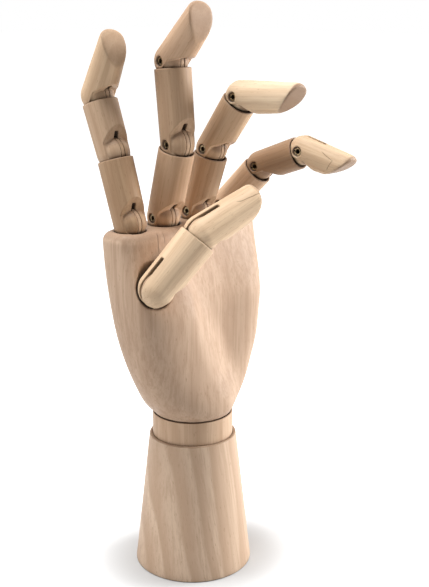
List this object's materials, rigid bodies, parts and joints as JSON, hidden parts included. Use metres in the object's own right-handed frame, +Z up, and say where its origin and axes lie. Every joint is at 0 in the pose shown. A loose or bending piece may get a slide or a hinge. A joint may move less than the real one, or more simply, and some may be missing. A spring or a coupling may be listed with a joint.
{
  "type": "jointed drawing hand",
  "caption": "Jointed wooden drawing hand standing on a turned tapered base, its fingers and thumb bending on steel roll pins and its palm tilting and turning at the wrist.",
  "frame": {"origin": "centre of the base underside, on the surface it stands on", "axes": "+Z up along the base and wrist axis, palm facing -Y, thumb side at -X, little finger side at +X"},
  "size_m": [0.0998, 0.1045, 0.2985],
  "materials": {
    "turned_wood": "fine sanded, unfinished or thinly waxed beech",
    "tongue_wood": "sawn pale hardwood",
    "steel": "dark oiled spring steel"
  },
  "bodies": {
    "base": {"base": "turned_wood"},
    "wrist": {"wrist_collar": "turned_wood", "wrist_eye_bolt": "steel", "wrist_spring": "steel", "wrist_washer": "steel", "wrist_nut": "steel"},
    "palm": {"palm": "turned_wood", "wrist_pin": "steel", "wrist_plug": "tongue_wood", "index_tongue_1": "tongue_wood", "middle_tongue_1": "tongue_wood", "ring_tongue_1": "tongue_wood", "little_tongue_1": "tongue_wood", "thumb_tongue_1": "tongue_wood"},
    "index_proximal": {"index_proximal": "turned_wood", "index_pin_1": "steel", "index_tongue_2": "tongue_wood"},
    "index_middle": {"index_middle": "turned_wood", "index_pin_2": "steel", "index_tongue_3": "tongue_wood"},
    "index_distal": {"index_distal": "turned_wood", "index_pin_3": "steel"},
    "middle_proximal": {"middle_proximal": "turned_wood", "middle_pin_1": "steel", "middle_tongue_2": "tongue_wood"},
    "middle_middle": {"middle_middle": "turned_wood", "middle_pin_2": "steel", "middle_tongue_3": "tongue_wood"},
    "middle_distal": {"middle_distal": "turned_wood", "middle_pin_3": "steel"},
    "ring_proximal": {"ring_proximal": "turned_wood", "ring_pin_1": "steel", "ring_tongue_2": "tongue_wood"},
    "ring_middle": {"ring_middle": "turned_wood", "ring_pin_2": "steel", "ring_tongue_3": "tongue_wood"},
    "ring_distal": {"ring_distal": "turned_wood", "ring_pin_3": "steel"},
    "little_proximal": {"little_proximal": "turned_wood", "little_pin_1": "steel", "little_tongue_2": "tongue_wood"},
    "little_middle": {"little_middle": "turned_wood", "little_pin_2": "steel", "little_tongue_3": "tongue_wood"},
    "little_distal": {"little_distal": "turned_wood", "little_pin_3": "steel"},
    "thumb_metacarpal": {"thumb_metacarpal": "turned_wood", "thumb_pin_1": "steel", "thumb_tongue_2": "tongue_wood"},
    "thumb_distal": {"thumb_distal": "turned_wood", "thumb_pin_2": "steel"}
  },
  "joints": [
    {"name": "wrist_turn", "type": "hinge", "parent": "base", "child": "wrist", "pos_m": [0, 0, 0.0865], "axis": [0, 0, 1], "continuous": true},
    {"name": "wrist_bend", "type": "hinge", "parent": "wrist", "child": "palm", "pos_m": [0, 0, 0.10872], "axis": [1, 0, 0], "range_deg": [-12, 12]},
    {"name": "index_knuckle_bend", "type": "hinge", "parent": "palm", "child": "index_proximal", "pos_m": [-0.035, 0.008, 0.1923], "axis": [-0.999, 0.0349, -0.0262], "range_deg": [-82, 8]},
    {"name": "index_middle_bend", "type": "hinge", "parent": "index_proximal", "child": "index_middle", "pos_m": [-0.03553, 0.0184, 0.22624], "axis": [-0.999, 0.0349, -0.0262], "range_deg": [-68, 22]},
    {"name": "index_tip_bend", "type": "hinge", "parent": "index_middle", "child": "index_distal", "pos_m": [-0.03589, 0.02834, 0.25348], "axis": [-0.999, 0.0349, -0.0262], "range_deg": [-17, 73]},
    {"name": "middle_knuckle_bend", "type": "hinge", "parent": "palm", "child": "middle_proximal", "pos_m": [-0.01167, 0.008, 0.1923], "axis": [0.9975, -0.0698, -0.0087], "range_deg": [-41, 38]},
    {"name": "middle_middle_bend", "type": "hinge", "parent": "middle_proximal", "child": "middle_middle", "pos_m": [-0.0121, -0.00288, 0.23027], "axis": [0.9975, -0.0698, -0.0087], "range_deg": [-3, 87]},
    {"name": "middle_tip_bend", "type": "hinge", "parent": "middle_middle", "child": "middle_distal", "pos_m": [-0.01146, 0.00126, 0.27005], "axis": [0.9975, -0.0698, -0.0087], "range_deg": [-75, 15]},
    {"name": "ring_knuckle_bend", "type": "hinge", "parent": "palm", "child": "ring_proximal", "pos_m": [0.01167, 0.008, 0.1923], "axis": [0.9986, 0, -0.0523], "range_deg": [-42, 27]},
    {"name": "ring_middle_bend", "type": "hinge", "parent": "ring_proximal", "child": "ring_middle", "pos_m": [0.01339, -0.00209, 0.22525], "axis": [0.9986, 0, -0.0523], "range_deg": [-43, 47]},
    {"name": "ring_tip_bend", "type": "hinge", "parent": "ring_middle", "child": "ring_distal", "pos_m": [0.01481, -0.02101, 0.25224], "axis": [0.9986, 0, -0.0523], "range_deg": [-77, 13]},
    {"name": "little_knuckle_bend", "type": "hinge", "parent": "palm", "child": "little_proximal", "pos_m": [0.035, 0.008, 0.1923], "axis": [0.9907, 0.1216, -0.061], "range_deg": [-69, 21]},
    {"name": "little_middle_bend", "type": "hinge", "parent": "little_proximal", "child": "little_middle", "pos_m": [0.03898, -0.01321, 0.21456], "axis": [0.9907, 0.1216, -0.061], "range_deg": [-50, 40]},
    {"name": "little_tip_bend", "type": "hinge", "parent": "little_middle", "child": "little_distal", "pos_m": [0.0427, -0.03862, 0.2244], "axis": [0.9907, 0.1216, -0.061], "range_deg": [-60, 30]},
    {"name": "thumb_base_swing", "type": "hinge", "parent": "palm", "child": "thumb_metacarpal", "pos_m": [-0.038, -0.014, 0.1635], "axis": [-0.2532, -0.9448, -0.2079], "range_deg": [-10, 42]},
    {"name": "thumb_tip_bend", "type": "hinge", "parent": "thumb_metacarpal", "child": "thumb_distal", "pos_m": [-0.018, -0.02505, 0.18935], "axis": [-0.2532, -0.9448, -0.2079], "range_deg": [-43, 47]}
  ]
}
